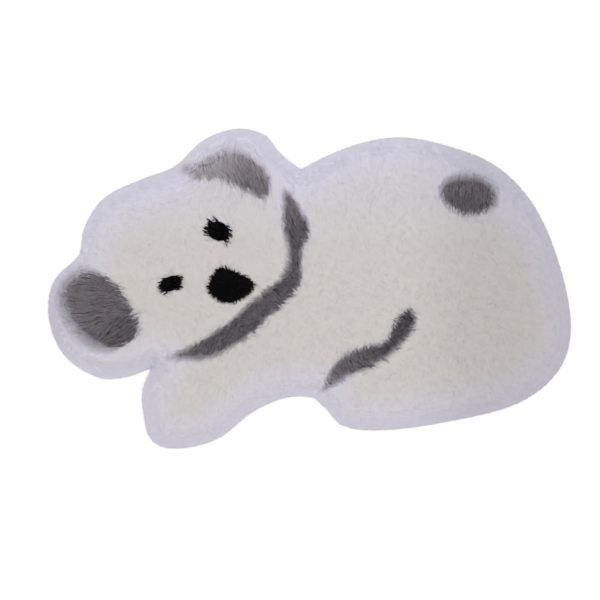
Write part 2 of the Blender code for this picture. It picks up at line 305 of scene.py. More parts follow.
# The combed heading at each point, as unit vectors, and how far it strays: the guides' headings, each
# weighed by nearness, turned by slow and quick waves as far as the pile strays there
def combedWay(points):
    guides = np.array(combing["guides"], float)
    angle, stray = np.radians(guides[:, 2:]).T
    values = np.column_stack([np.cos(angle), np.sin(angle), stray])
    found = guided(points, guides, values, combing["falloff"])
    slow = waves(points, combing["slowWave"], combing["seeds"][0])
    quick = waves(points, combing["quickWave"], combing["seeds"][1])
    turn = found[:, 2] * (slow + combing["quickShare"] * quick)
    return np.column_stack([turned(unit(found[:, :2]), np.degrees(turn)), np.degrees(found[:, 2])])


# 0 below the low end and 1 above the high end. Between them, with the share of the way from low to high,
# three times its square less twice its cube
def smoothRise(values, low, high):
    share = np.clip((values - low) / (high - low), 0, 1)
    return share * share * (3 - 2 * share)


# Distance of each cell from the nearest of the named inlays, positive inside one
def fromInlays(names):
    return np.max([fromLoop(gridCells, footLoops(name)[0][0])[0] for name in names], axis=0)


# The dark patches, as if sprayed on the pile: how dark the grey is near each guide, how far its edge
# fades, how far its tufts stray from the edge, and how far past the inlay the edge lies
spray = {
    "falloff": 0.020,
    "guides": (
        # x, y, darkness, fade, stray, past
        (-0.22, 0.25, 0.46, 0.016, 0.001, 0.000),  # upper ear
        (-0.18, 0.28, 0.47, 0.018, 0.001, -0.001),
        (-0.13, 0.27, 0.57, 0.018, 0.001, -0.003),
        (-0.08, 0.23, 0.76, 0.013, 0.002, -0.002),
        (-0.17, 0.21, 0.60, 0.006, 0.004, 0.000),
        (-0.10, 0.18, 0.82, 0.005, 0.003, -0.001),
        (-0.42, 0.02, 0.86, 0.020, 0.001, 0.003),  # lower ear
        (-0.43, -0.05, 0.86, 0.021, 0.001, 0.004),
        (-0.40, -0.12, 0.86, 0.022, 0.001, 0.006),
        (-0.35, -0.15, 0.86, 0.018, 0.001, 0.004),
        (-0.33, -0.01, 0.92, 0.004, 0.005, 0.001),
        (-0.31, -0.08, 0.97, 0.003, 0.003, 0.000),
        (-0.03, 0.16, 0.88, 0.008, 0.001, 0.000),  # chin band
        (0.01, 0.08, 0.97, 0.005, 0.003, 0.001),
        (-0.04, 0.06, 0.97, 0.008, 0.001, 0.002),
        (-0.03, 0.01, 0.97, 0.004, 0.003, 0.002),
        (-0.08, -0.05, 0.97, 0.004, 0.003, 0.003),
        (-0.12, -0.02, 0.97, 0.006, 0.001, 0.003),
        (-0.18, -0.08, 0.97, 0.005, 0.002, 0.002),
        (-0.20, -0.13, 0.92, 0.009, 0.001, 0.001),
        (-0.25, -0.12, 0.62, 0.012, 0.001, 0.000),
        (0.18, -0.03, 1.00, 0.004, 0.002, 0.000),  # thigh band
        (0.14, -0.07, 1.00, 0.003, 0.003, 0.000),
        (0.15, -0.10, 1.00, 0.006, 0.001, 0.000),
        (0.07, -0.14, 0.92, 0.006, 0.001, 0.000),
        (0.05, -0.18, 0.70, 0.008, 0.001, 0.000),
        (0.27, 0.20, 0.91, 0.014, 0.001, 0.001),  # tail patch
        (0.28, 0.14, 0.96, 0.007, 0.003, 0.000),
        (0.31, 0.18, 0.93, 0.013, 0.001, 0.001),
    ),
    "strandStray": 0.0015,
    "softFrom": (0.006, 0.012),  # where the fade is this wide, a strand's tint changes along it
    "smudges": (
        # x, y, radius, darkness of faint grey beyond the inlays
        (-0.211, 0.205, 0.017, 0.45),
    ),
    "haloReach": 0.007,  # the faint grey round the eyes and the nose
    "haloDarkness": 0.14,
}

outline = rimOutline()
rimFar, rimOut = fromLoop(gridCells, outline)
greyFar, blackFar = fromInlays(greyParts), fromInlays(blackParts)
sprayGuides = np.array(spray["guides"], float)
fields = {
    "height": evenedHeights(surfaceHeights(), rimFar),
    "rim": rimFar,
    "out": rimOut,
    "grey": greyFar,
    "black": blackFar,
    "comb": combedWay(gridCells),
    "spray": guided(gridCells, sprayGuides, sprayGuides[:, 2:], spray["falloff"]),
}
fields = {key: field.reshape(*gridShape, -1) for key, field in fields.items()}
print("fields worked out:", *gridShape, "cells")


# A field's values at points, each weighed between the four cells whose middles lie round it
def readField(key, points):
    place = (points - gridLow) / grid["cell"] - 0.5
    corner = np.clip(np.floor(place).astype(int), 0, gridShape - 2)
    share = np.clip(place - corner, 0, 1)
    i, j, u, v = corner[:, 0], corner[:, 1], share[:, :1], share[:, 1:]
    field = fields[key]
    low = field[i, j] * (1 - v) + field[i, j + 1] * v
    high = field[i + 1, j] * (1 - v) + field[i + 1, j + 1] * v
    found = low * (1 - u) + high * u
    return found[:, 0] if found.shape[1] == 1 else found


# The way the pile's surface faces at each point: up, tilted by a share of the surface's slope
def surfaceFacing(points):
    step, tilt = 0.006, 0.6
    slopes = [(readField("height", points + shift) - readField("height", points - shift)) / (2 * step)
              for shift in (np.array([step, 0]), np.array([0, step]))]
    return unit(np.column_stack([-tilt * slopes[0], -tilt * slopes[1], np.ones(len(points))]))


# The beds: their height as a share of the pile's, in the open and beside the inlays' seams
bed = {
    "openShare": 0.985,
    "rimShare": 0.975,
    "rimWidth": 0.030,
    "seamShare": 0.84,
    "whiteSeamShare": 0.92,
    "seamWidth": 0.014,
    "inlayRise": 0.1,  # how much higher than at its seam an inlay's bed is in its middle
    "mostCloth": 1.5,  # an inlay's bed is so low that its skin is at most so many times its two flat sides
    "litAs": 0.8,  # the bed's colour is that of a strand this far from root to tip, with its painted shade
    "drawnIn": 0.003,  # how far the bed stops short of the outline, and its inner corners further
    "furtherIn": 0.001,
    "floorBelow": 0.0005,  # what is lower than this stays on the floor
    "sharpFrom": 60,
    "rootSink": 0.0002,  # how deep in the bed a strand starts
    "clearance": 0.0001,  # how far above the white bed its strands stay
}


# How high an inlay's bed may stand at its seam, as a share of the pile's height: with its upright
# walls, its skin stays under the most cloth
def inlayShare(name):
    loop = footLoops(name)[0][0]
    following = np.roll(loop, -1, axis=0)
    area = abs((loop[:, 0] * following[:, 1] - loop[:, 1] * following[:, 0]).sum()) / 2
    length = np.linalg.norm(following - loop, axis=1).sum()
    height = readField("height", loop).mean()
    return min((bed["mostCloth"] - 1) * 2 * area / (length * height), bed["seamShare"])


seamShares = {name: inlayShare(name) for name in greyParts + blackParts}
seamShares["white_ground"] = bed["whiteSeamShare"]


# The height of a piece's bed at each point: a share of the pile's, high in the open and lower at the
# rim and at the seams
def bedHeight(points, name="white_ground"):
    grey, black, rim = (readField(key, points) for key in ("grey", "black", "rim"))
    fromSeam = smoothRise(np.minimum(np.abs(grey), np.abs(black)), 0, bed["seamWidth"])
    low = seamShares[name]
    high = bed["openShare"] if name == "white_ground" else min(low + bed["inlayRise"], bed["seamShare"])
    share = low + (high - low) * fromSeam
    share *= bed["rimShare"] + (1 - bed["rimShare"]) * smoothRise(rim, 0, bed["rimWidth"])
    return readField("height", points) * share


# How grey each point of the pile is, from 0 to 1: full inside the grey inlays, faded over their edges
# as the spray's guides say near the middles, and a faint halo round the black ones
def greyness(points, middles, tuft, strand):
    darkness, fade, stray, past = readField("spray", middles).T
    edge = readField("grey", points) + past + stray * tuft + spray["strandStray"] * strand
    grey = smoothRise(edge, -fade, fade) * darkness
    halo = smoothRise(readField("black", points), -spray["haloReach"], 0) * spray["haloDarkness"]
    for x, y, radius, faint in spray["smudges"]:
        span = np.hypot(points[:, 0] - x, points[:, 1] - y)
        halo = np.maximum(halo, faint * smoothRise(-span, -radius, 0))
    return np.maximum(grey, halo)


# Which tuft each root belongs to: one centre lies at random in each cell of a square lattice, and the
# nearest of the 25 round a root counts, with the way along the pile counted shorter by the stretch.
# Gives the centres and random numbers of each
def tuftsOf(points, way, pitch, stretch, seed):
    cells, inset = 256, 0.05
    table = np.random.default_rng(seed).random((cells, cells, 6))
    cell = np.floor(points / pitch).astype(int)
    best = np.full(len(points), np.inf)
    centre, traits = np.zeros((len(points), 2)), np.zeros((len(points), 4))
    for shift in np.ndindex(5, 5):
        near = cell + np.array(shift) - 2
        chance = table[near[:, 0] % cells, near[:, 1] % cells]
        place = (near + inset + (1 - 2 * inset) * chance[:, :2]) * pitch
        gap = points - place
        along = (gap * way).sum(axis=1)
        span = (gap ** 2).sum(axis=1) - along ** 2 + (along / stretch) ** 2
        closer = span < best
        best[closer], centre[closer], traits[closer] = span[closer], place[closer], chance[closer, 2:]
    return centre, traits


# The way each point's pile leans, and its share of the full reach: combed in the middle, outwards at
# the rim, from a distance that the spread shifts
def leanAt(points, spread=0.0):
    share = smoothRise(-readField("rim", points) + spread, -rimPile["width"], 0)[:, None]
    combed = readField("comb", points)[:, :2]
    blend = combed * (1 - share) + readField("out", points) * share * rimPile["pull"]
    return unit(blend), np.clip(np.linalg.norm(blend, axis=1), rimPile["leastReach"], 1.0)


# Draws tips back along their strands to where these first pass an edge by more than they may
def drawnBack(places, tips, key, sign, allowed):
    rootFar, keep = sign * readField(key, places), np.ones(len(places))
    for share in (1.0, 0.75, 0.5, 0.25):
        far = sign * readField(key, places + (tips - places) * share)
        back = share * (rootFar + allowed) / np.maximum(rootFar - far, 1e-6)
        keep = np.where(far < np.minimum(-allowed, 0), np.clip(back, 0, share), keep)
    return places + (tips - places) * keep[:, None]


# The tints of the pile, as the materials read them. White fur is cool at one tint, warm at the next and
# plain at the third, with full grey beyond the first and the last; the cool tint paints the cool shade of
# the rim. Grey fur runs from white at the low end to full grey
tints = {"grey": (0.04, 0.96), "cool": 0.30, "warm": 0.58, "plain": 0.68, "ends": (0.01, 0.99)}

# What the strands of all the fur share
strandShape = {
    "bendAt": 0.42,  # the bend's share of the way from root to tip
    "readAt": 0.55,  # the share of the way at which a strand's place is read
    "tuftTipPast": 1.1,  # how far a tuft's tip lies from its middle, in reaches
    "tuftTurnBy": 1.5,
    "steadyTurn": 0.4,  # the share of a strand's own turn that doesn't depend on how loose the pile is
    "reaches": (0.7, 1.15),
    "gathers": (0.6, 1.2),
    "widths": (0.7, 1.25),
    "shortest": 0.0015,  # shorter strands are left out
    "overBlack": 0.0016,  # a tuft may lie over a black inlay by this, times its chance past overBlackFrom
    "overBlackFrom": 0.4,
    "leastLoose": 0.2,  # how loose the white pile is where it strays least
    "tuftTone": 0.030,  # how far the tint differs between tufts, and between their strands
    "strandTone": 0.005,
    "liftShares": (0.6, 1.0),  # at the bend and at the tip
    # how lit a strand's bend is painted, between its painted-shade root and its tip
    "litAtBend": 0.45,
    "lowest": 0.0004,  # how low a strand's corners may lie
}

whiteFur = {
    "density": 1.08e6,  # strands in a square metre
    "reach": 0.0150,  # from a strand's root to its tip
    "halfWidth": 0.00036,
    "tuftPitch": 0.0080,
    "tuftStretch": 1.6,  # how much longer than wide a tuft is, on its way
    "gather": 0.15,  # how far a tuft's strands close in on its tip
    "strandTurn": 10.0,  # by how many degrees strands and tufts turn off their way
    "tuftTurn": 6.0,
    "bendShares": (0.990, 1.00),  # the heights of bend and tip, as shares of the pile's
    "tipShares": (0.990, 1.00),
    "lift": 0.00006,  # how much higher strands stand, on average
    "roll": 2.0,  # by how many degrees strands roll round themselves
    "reachSpread": 0.12,
    "rootShade": 0.14,  # how much darker a root is painted than its tip: painted shade deep in the pile
    "looseAt": 45.0,  # the stray of the comb where the pile is as loose as these values say
    "seed": 11,
}

greyFur = {
    "density": 1.20e6,
    "reach": 0.0240,
    "smaller": {"chin_band_inlay": 0.72, "thigh_band_inlay": 0.62, "tail_patch_inlay": 0.75},
    "halfWidth": 0.00036,
    "tuftPitch": 0.0048,
    "tuftStretch": 3.8,
    "gather": 0.66,
    "gathers": {"ear_lower_inlay": 1.35},  # where the strands of a tuft close in more than elsewhere
    "strandTurn": 7.0,
    "tuftTurn": 7.0,
    "bendShares": (0.78, 0.98),
    "tipShares": (0.82, 1.03),
    "lift": 0.0005,
    "roll": 18.0,
    "reachSpread": 0.30,
    "seed": 23,
}

blackFur = {
    "density": 2.20e6,
    "reach": 0.0150,
    "smaller": {"nose_inlay": 0.62, "eye_lower_inlay": 0.85},
    "halfWidth": 0.00032,
    "tuftPitch": 0.0048,
    "tuftStretch": 2.4,
    "gather": 0.96,
    "strandTurn": 5.0,
    "tuftTurn": 5.0,
    "bendShares": (0.90, 1.00),
    "tipShares": (0.98, 1.06),
    "lift": 0.0008,
    "roll": 18.0,
    "reachSpread": 0.45,
    "overshoot": 0.0120,  # how far a black strand's tip may lie outside its inlay
    "fans": {
        # headings that the strands lean along on the left and on the right of a parting, how far right of
        # the middle this lies, how strongly they lean so, how strongly they fan out, and how far inside
        # the edge a tuft may still be white
        "eye_upper_inlay": (152.0, -45.0, 0.005, 1.0, 0.40, 0.0030),
        "eye_lower_inlay": (204.0, 4.0, 0.002, 1.0, 0.45, 0.0030),
        "nose_inlay": (180.0, 0.0, 0.0, 0.0, 1.0, 0.0030),
    },
    "seed": 37,
}

furOfSlot = {"white_fur": whiteFur, "grey_fur": greyFur, "black_fur": blackFur}


# Every strand's root, bend and tip, with its width and a tint at each of the three. A strand starts in
# the bed, rises to the pile's surface and lies along it, and the strands of a tuft close in a little on
# the tuft's tip. Where the grey's edge is soft each tint is that of its own place, and else the middle's
def strandLines(roots, name):
    slot = slotOfNode[name]
    fur = furOfSlot[slot]
    rng = np.random.default_rng(fur["seed"])
    count = len(roots)
    places = roots[:, :2]
    size = fur.get("smaller", {}).get(name, 1.0)
    pitch = fur["tuftPitch"] * size
    centre, traits = tuftsOf(places, leanAt(places)[0], pitch, fur["tuftStretch"], fur["seed"])
    way, strength = leanAt(0.5 * (centre + places), rimPile["widthSpread"] * (traits[:, 3] - 0.5))
    loose = np.ones(count)
    if slot == "white_fur":
        loose = np.clip(readField("comb", places)[:, 2] / fur["looseAt"], strandShape["leastLoose"], 1)
    if slot == "black_fur":
        leftHeading, rightHeading, parting, pull, fanning, whiteUpTo = fur["fans"][name]
        fromMiddle = centre - footLoops(name)[0][0].mean(axis=0)
        heading = np.radians(np.where(fromMiddle[:, 0] < parting, leftHeading, rightHeading))
        lean = pull * np.column_stack([np.cos(heading), np.sin(heading)])
        way = unit(lean + fanning * unit(fromMiddle))
    way = turned(way, fur["tuftTurn"] * (2 * traits[:, 0] - 1) * strandShape["tuftTurnBy"] * loose)
    reach = fur["reach"] * size * strength * (1 + fur["reachSpread"] * (2 * traits[:, 1] - 1))
    tuftTip = centre + way * reach[:, None] * strandShape["tuftTipPast"]
    steady = strandShape["steadyTurn"]
    ownWay = turned(way, fur["strandTurn"] * rng.standard_normal(count) * (steady + (1 - steady) * loose))
    ownTip = places + ownWay * (reach * rng.uniform(*strandShape["reaches"], count))[:, None]
    gather = fur["gather"] * fur.get("gathers", {}).get(name, 1.0)
    gather = (gather * rng.uniform(*strandShape["gathers"], count))[:, None]
    tips = ownTip * (1 - gather) + tuftTip * gather
    tips = drawnBack(places, tips, "rim", 1, rimPile["overhang"] * rng.random(count))
    if slot == "black_fur":
        tips = drawnBack(places, tips, "black", 1, fur["overshoot"] * size * traits[:, 3])
    else:
        over = strandShape["overBlack"] * (traits[:, 3] - strandShape["overBlackFrom"])
        tips = drawnBack(places, tips, "black", -1, over)
    long = np.linalg.norm(tips - places, axis=1) > strandShape["shortest"]
    places, tips, traits, loose = places[long], tips[long], traits[long], loose[long]
    count = len(places)
    bends = places + (tips - places) * strandShape["bendAt"]
    lines = np.empty((count, 3, 3))
    lines[:, 0, :2], lines[:, 1, :2], lines[:, 2, :2] = places, bends, tips
    lines[:, 0, 2] = bedHeight(places, name) - bed["rootSink"]
    for row, shares in ((1, fur["bendShares"]), (2, fur["tipShares"])):
        share = shares[1] - (shares[1] - shares[0]) * rng.random(count) * loose
        lines[:, row, 2] = readField("height", lines[:, row, :2]) * share
    lines[:, 1:, 2] += rng.exponential(fur["lift"], (count, 1)) * strandShape["liftShares"]
    for row in (1, 2):
        least = np.maximum(bedHeight(lines[:, row, :2]) + bed["clearance"], rimPile["lowest"])
        lines[:, row, 2] = np.maximum(lines[:, row, 2], least)
    width = fur["halfWidth"] * rng.uniform(*strandShape["widths"], count)
    tone = strandShape["tuftTone"] * (traits[:, 2] - 0.5)
    tone = (tone + strandShape["strandTone"] * rng.standard_normal(count)) * loose
    middle, tint = places + (tips - places) * strandShape["readAt"], np.empty((count, 3))
    if slot == "black_fur":
        white = readField("black", places) < whiteUpTo * traits[:, 1] ** 2
        tint[:] = np.where(white, tints["grey"][0], tints["warm"])[:, None]
    else:
        tuft, strand = 2 * traits[:, 3] - 1, rng.standard_normal(count)
        soft = smoothRise(readField("spray", middle)[:, 1:2], *spray["softFrom"])
        for row in range(3):
            spot = middle + (lines[:, row, :2] - middle) * soft
            tint[:, row] = tintAt(middle, slot, greyness(spot, middle, tuft, strand))
    return lines, width, np.clip(tint + tone[:, None], *tints["ends"]), surfaceFacing(middle)


# How cool the white is: painted cool shade at the rim, where the fur slopes away from the light, fading
# inwards, and a little cooler towards the back
coolness = {
    "rim": 1.0,
    "depths": (-0.008, 0.090),
    "top": 0.36,
    "topFrom": (0.00, 0.18),
    "drawnFrom": 0.18,  # where it is this cool, grey is drawn over the cool white, and else over the plain
    "drawnBy": 6,  # how quickly a little grey draws the tint that way
}


# The tint of a slot's fur at each point, from how grey it is there, and on white fur from how cool it is
# by the rim, where the cool is painted shade, and towards the back. A little grey draws the tint to the
# side that grey lies beyond
def tintAt(points, slot, grey):
    low, high = tints["grey"]
    if slot == "black_fur":
        return np.full(len(points), tints["warm"])
    if slot == "grey_fur":
        return low + (high - low) * grey
    cool = coolness["rim"] * (1 - smoothRise(readField("rim", points), *coolness["depths"]))
    cool += coolness["top"] * smoothRise(points[:, 1], *coolness["topFrom"])
    plain = tints["warm"] + (tints["cool"] - tints["warm"]) * np.clip(cool, 0, 1)
    near = np.where(cool > coolness["drawnFrom"], tints["cool"], tints["plain"])
    end = np.where(cool > coolness["drawnFrom"], low, high)
    drawn = np.clip(coolness["drawnBy"] * grey, 0, 1)
    return plain * (1 - drawn) + near * drawn + (end - near) * grey


# Painted shade where the light falls off: none over the head and the shoulders, darker towards the rump
# and at the far side of the lower ear
falloffShade = {"rump": 0.62, "rumpFrom": (0.14, 0.31), "ear": 0.55, "earFrom": (0.38, 0.46)}


# How lit the colour is painted: it rises from the root's painted shade to the tip, on white fur only over
# the last part of the range, and falls by the painted shade where the light falls off
def paintedLight(points, slot, shares):
    if slot != "white_fur":
        return shares
    shaded = falloffShade["rump"] * smoothRise(points[:, 0], *falloffShade["rumpFrom"])
    shaded += falloffShade["ear"] * smoothRise(-points[:, 0], *falloffShade["earFrom"])
    return 1 - shaded[:, None] - whiteFur["rootShade"] * (1 - shares)


# One mesh of strands, each a kite from root to tip, widest at its bend. A strand lies across its own
# way, rolled a little, with its face up. UV: u is the tint and v the painted light from root to tip
def strandMesh(name, slot, lines, width, tint, facing, rng):
    count = len(lines)
    along = unit(lines[:, 2] - lines[:, 0])
    flat = unit(np.column_stack([-along[:, 1], along[:, 0], np.zeros(count)]))
    up = unit(np.cross(along, flat))
    angle = np.radians(furOfSlot[slot]["roll"] * rng.standard_normal(count))[:, None]
    side = (flat * np.cos(angle) + up * np.sin(angle)) * width[:, None]
    places = np.empty((count, 4, 3), np.float32)
    places[:, 0], places[:, 3] = lines[:, 0], lines[:, 2]
    places[:, 1], places[:, 2] = lines[:, 1] - side, lines[:, 1] + side
    places[:, :, 2] = np.maximum(places[:, :, 2], strandShape["lowest"])
    pattern = np.array([0, 1, 2, 1, 3, 2])
    corners = (np.arange(count)[:, None] * 4 + pattern).ravel()
    mesh = bpy.data.meshes.new(name)
    mesh.vertices.add(count * 4)
    mesh.vertices.foreach_set("co", places.ravel())
    mesh.loops.add(len(corners))
    mesh.loops.foreach_set("vertex_index", corners.astype(np.int32))
    mesh.polygons.add(count * 2)
    mesh.polygons.foreach_set("loop_start", np.arange(count * 2, dtype=np.int32) * 3)
    mesh.update(calc_edges=True)
    shares = np.array([0.0, strandShape["litAtBend"], strandShape["litAtBend"], 1.0])[pattern]
    uvs = np.empty((count, 6, 2), np.float32)
    uvs[:, :, 0] = tint[:, [0, 1, 1, 2]][:, pattern]
    uvs[:, :, 1] = paintedLight(lines[:, 1], slot, shares)
    mesh.uv_layers.new(name="OFBake").data.foreach_set("uv", uvs.ravel())
    mesh.shade_smooth()
    normals = mesh.attributes.new("custom_normal", "FLOAT_VECTOR", "POINT")
    normals.data.foreach_set("vector", np.repeat(facing, 4, axis=0).astype(np.float32).ravel())
    return mesh


# Puts a mesh into the scene as a piece of the rug
def addPiece(name, mesh, material):
    mesh.materials.append(material)
    piece = bpy.data.objects.new(name, mesh)
    bpy.context.scene.collection.objects.link(piece)
    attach(piece, "root")
    return piece


# The fur's colours at its roots and its tips, at the five tints, and how far strands differ; the darker
# roots are painted shade deep in the pile and between its tufts. The shares from root to tip over which the
# colour changes, and how the bed is mottled by its grain
whiteRoot, whiteTip = (0.460, 0.430, 0.412), (0.600, 0.566, 0.544)
# The cool colours are painted cool shade, for the white fur's rim
coolRoot, coolTip = (0.475, 0.458, 0.535), (0.631, 0.611, 0.712)
plainRoot, plainTip = (0.475, 0.449, 0.460), (0.612, 0.582, 0.592)
greyRoot, greyTip = (0.014, 0.010, 0.012), (0.141, 0.121, 0.133)
blackRoot, blackTip = (0.0006, 0.0006, 0.0006), (0.0010, 0.0010, 0.0011)
furLooks = {
    "white_fur": {
        "roots": (greyRoot, coolRoot, whiteRoot, plainRoot, greyRoot),
        "tips": (greyTip, coolTip, whiteTip, plainTip, greyTip),
        "spreads": (0.30, 0.02, 0.02, 0.02, 0.30),
        "litShare": (0.0, 1.0),
        "mottled": (-0.05, 0.05),
        "sheen": 0.05,
    },
    "grey_fur": {
        "roots": (coolTip, (0.49, 0.465, 0.487), (0.36, 0.330, 0.353), (0.28, 0.253, 0.273), greyRoot),
        "tips": (
            (0.62, 0.592, 0.605), (0.50, 0.474, 0.496), (0.37, 0.338, 0.370), (0.30, 0.272, 0.300), greyTip,
        ),
        "spreads": (0.02, 0.10, 0.22, 0.42, 0.50),
        "litShare": (0.30, 0.95),
        "mottled": (-0.35, 0.0),
        "sheen": 0.03,
    },
    "black_fur": {
        "roots": ((0.45, 0.43, 0.43), blackRoot, blackRoot, blackRoot, blackRoot),
        "tips": (plainTip, blackTip, blackTip, blackTip, blackTip),
        "spreads": (0.05, 0.1, 0.1, 0.1, 0.1),
        "litShare": (0.20, 0.95),
        "mottled": (-0.3, 0.0),
        "sheen": 0.0,
    },
}


# How the tint's quick wave and the bed's grain run
grain = {
    "quickness": 90.0,
    "quickRange": (0.25, 0.75),
    "perMetre": 420.0,
    "detail": 3.0,
    "roughness": 0.6,
    "range": (0.3, 0.7),
    "bumpStrength": 0.4,
    "bumpDistance": 0.001,
}


# A new material of a roughness and a gloss, with its node tree and its shader
def newMaterial(name, roughness, gloss):
    material = bpy.data.materials.new(name)
    material.use_nodes = True
    tree = material.node_tree
    shader = tree.nodes["Principled BSDF"]
    shader.inputs["Roughness"].default_value = roughness
    shader.inputs["Specular IOR Level"].default_value = gloss
    return material, tree, shader


# Adds a node with its settings, and joins the sockets given for its inputs
def addNode(tree, kind, inputs=(), **settings):
    node = tree.nodes.new(kind)
    for key, value in settings.items():
        setattr(node, key, value)
    for key, value in dict(inputs).items():
        if isinstance(value, bpy.types.NodeSocket):
            tree.links.new(value, node.inputs[key])
        else:
            node.inputs[key].default_value = value
    return node


# A mix of two colours by a socket
def mixColours(tree, share, first, second):
    node = addNode(tree, "ShaderNodeMix", data_type="RGBA")
    tree.links.new(share, node.inputs["Factor"])
    for key, value in (("A", first), ("B", second)):
        socket = [s for s in node.inputs if s.name == key and s.type == "RGBA"][0]
        if isinstance(value, bpy.types.NodeSocket):
            tree.links.new(value, socket)
        else:
            socket.default_value = (*value, 1.0)
    return [s for s in node.outputs if s.type == "RGBA"][0]


# A value moved from one range to another and kept inside it
def ranged(tree, value, low, high, newLow=0.0, newHigh=1.0):
    node = addNode(tree, "ShaderNodeMapRange", {
        "Value": value, "From Min": low, "From Max": high, "To Min": newLow, "To Max": newHigh,
    })
    return node.outputs["Result"]


# A ramp over a value with a colour at each of the five tints
def tintRamp(tree, value, colours):
    node = addNode(tree, "ShaderNodeValToRGB", {"Fac": value})
    places = (tints["grey"][0], tints["cool"], tints["warm"], tints["plain"], tints["grey"][1])
    ramp = node.color_ramp
    ramp.elements[0].position, ramp.elements[1].position = places[0], places[-1]
    for place in places[1:-1]:
        ramp.elements.new(place)
    for element, colour in zip(ramp.elements, colours):
        element.color = (*colour, 1.0)
    return node.outputs["Color"]


# The fur's colour from its tint and its painted light along the strand: a ramp for the roots and one for
# the tips, mixed by the painted light, times one plus the spread times a quick wave of the tint
def furColour(tree, looks, tint, length):
    root, tip = tintRamp(tree, tint, looks["roots"]), tintRamp(tree, tint, looks["tips"])
    colour = mixColours(tree, ranged(tree, length, *looks["litShare"]), root, tip)
    quick = addNode(tree, "ShaderNodeMath", {0: tint, 1: grain["quickness"]}, operation="MULTIPLY")
    noise = addNode(tree, "ShaderNodeTexNoise", {"W": quick.outputs[0], "Scale": 1.0, "Detail": 0.0},
                    noise_dimensions="1D")
    spread = tintRamp(tree, tint, [(value,) * 3 for value in looks["spreads"]])
    lift = addNode(tree, "ShaderNodeMath", {
        0: ranged(tree, noise.outputs["Fac"], *grain["quickRange"], -1.0, 1.0), 1: spread, 2: 1.0,
    }, operation="MULTIPLY_ADD")
    scaled = addNode(tree, "ShaderNodeVectorMath", {0: colour}, operation="SCALE")
    tree.links.new(lift.outputs[0], scaled.inputs["Scale"])
    return scaled.outputs["Vector"]


# The pile's material, which reads tint and painted light from the strands' own UV
def pileMaterial(slot):
    looks = furLooks[slot]
    material, tree, shader = newMaterial(slot + "_pile", roughness=0.85, gloss=0.15)
    uv = addNode(tree, "ShaderNodeUVMap", uv_map="OFBake")
    parts = addNode(tree, "ShaderNodeSeparateXYZ", {"Vector": uv.outputs["UV"]})
    colour = furColour(tree, looks, parts.outputs["X"], parts.outputs["Y"])
    tree.links.new(colour, shader.inputs["Base Color"])
    shader.inputs["Sheen Weight"].default_value = looks["sheen"]
    shader.inputs["Sheen Roughness"].default_value = 0.6
    return material


# The bed's material: the same colours, with tint and painted light read from the bed's own attributes,
# and mottled by a fine noise
def bedMaterial(slot):
    looks = furLooks[slot]
    material, tree, shader = newMaterial(slot + "_bed", roughness=0.95, gloss=0.1)
    place = addNode(tree, "ShaderNodeTexCoord")
    noise = addNode(tree, "ShaderNodeTexNoise", {
        "Vector": place.outputs["Object"],
        "Scale": grain["perMetre"],
        "Detail": grain["detail"],
        "Roughness": grain["roughness"],
    })
    tint = addNode(tree, "ShaderNodeAttribute", attribute_name="tint")
    litShare = addNode(tree, "ShaderNodeAttribute", attribute_name="litShare")
    mottled = ranged(tree, noise.outputs["Fac"], *grain["range"], *looks["mottled"])
    length = addNode(tree, "ShaderNodeMath", {0: litShare.outputs["Fac"], 1: mottled}, operation="ADD")
    colour = furColour(tree, looks, tint.outputs["Fac"], length.outputs[0])
    tree.links.new(colour, shader.inputs["Base Color"])
    bump = addNode(tree, "ShaderNodeBump", {
        "Height": noise.outputs["Fac"],
        "Strength": grain["bumpStrength"],
        "Distance": grain["bumpDistance"],
    })
    tree.links.new(bump.outputs["Normal"], shader.inputs["Normal"])
    return material


# A solid's triangles with the gaps between the rim's locks filled: the loop of the locks moves out to
# run a little inside the outline
def filledTriangles(name):
    triangles = solidTriangles(name)
    corners = triangles.reshape(-1, 3)
    far, out = fromLoop(corners[:, :2], outline)
    onRim = np.zeros(len(corners), bool)
    if name == "white_ground":
        longest = max((loop[0] for loop in footLoops(name)), key=len)
        rim = np.round(longest * matching["cornersPerMetre"]).astype(int)
        keys = np.round(corners[:, :2] * matching["cornersPerMetre"]).astype(int)
        onRim = np.isin(keys @ matching["pairing"], rim @ matching["pairing"])
    inner = np.minimum(far - bed["drawnIn"] - bed["furtherIn"], 0)
    outwards = np.where(onRim, far - bed["drawnIn"], inner)
    corners[:, :2] += out * outwards[:, None]
    return triangles


# The bed of a piece of fur: its solid's form with the gaps at the rim filled, but lower, and every
# triangle cut in four
def bedMesh(name, slot):
    triangles = filledTriangles(name)
    middles = 0.5 * (triangles + np.roll(triangles, -1, axis=1))
    cut = [np.stack([triangles[:, k], middles[:, k], middles[:, k - 1]], axis=1) for k in range(3)]
    triangles = np.concatenate(cut + [middles])
    keys = np.round(triangles.reshape(-1, 3) * matching["finePerMetre"]).astype(int)
    _, first, number = np.unique(keys, axis=0, return_index=True, return_inverse=True)
    places = triangles.reshape(-1, 3)[first]
    raised = places[:, 2] > bed["floorBelow"]
    places[:, 2] = np.where(raised, bedHeight(places[:, :2], name), 0)
    mesh = bpy.data.meshes.new(name)
    mesh.from_pydata(places.tolist(), [], number.reshape(-1, 3).tolist())
    mesh.shade_smooth()
    mesh.set_sharp_from_angle(angle=math.radians(bed["sharpFrom"]))
    spots = places[:, :2]
    tint = tintAt(spots, slot, greyness(spots, spots, 0, 0))
    litShare = paintedLight(places, slot, bed["litAs"] * np.ones((len(places), 1)))[:, 0]
    for key, values in (("tint", tint), ("litShare", litShare)):
        mesh.attributes.new(key, "FLOAT", "POINT").data.foreach_set("value", values.astype(np.float32))
    return mesh


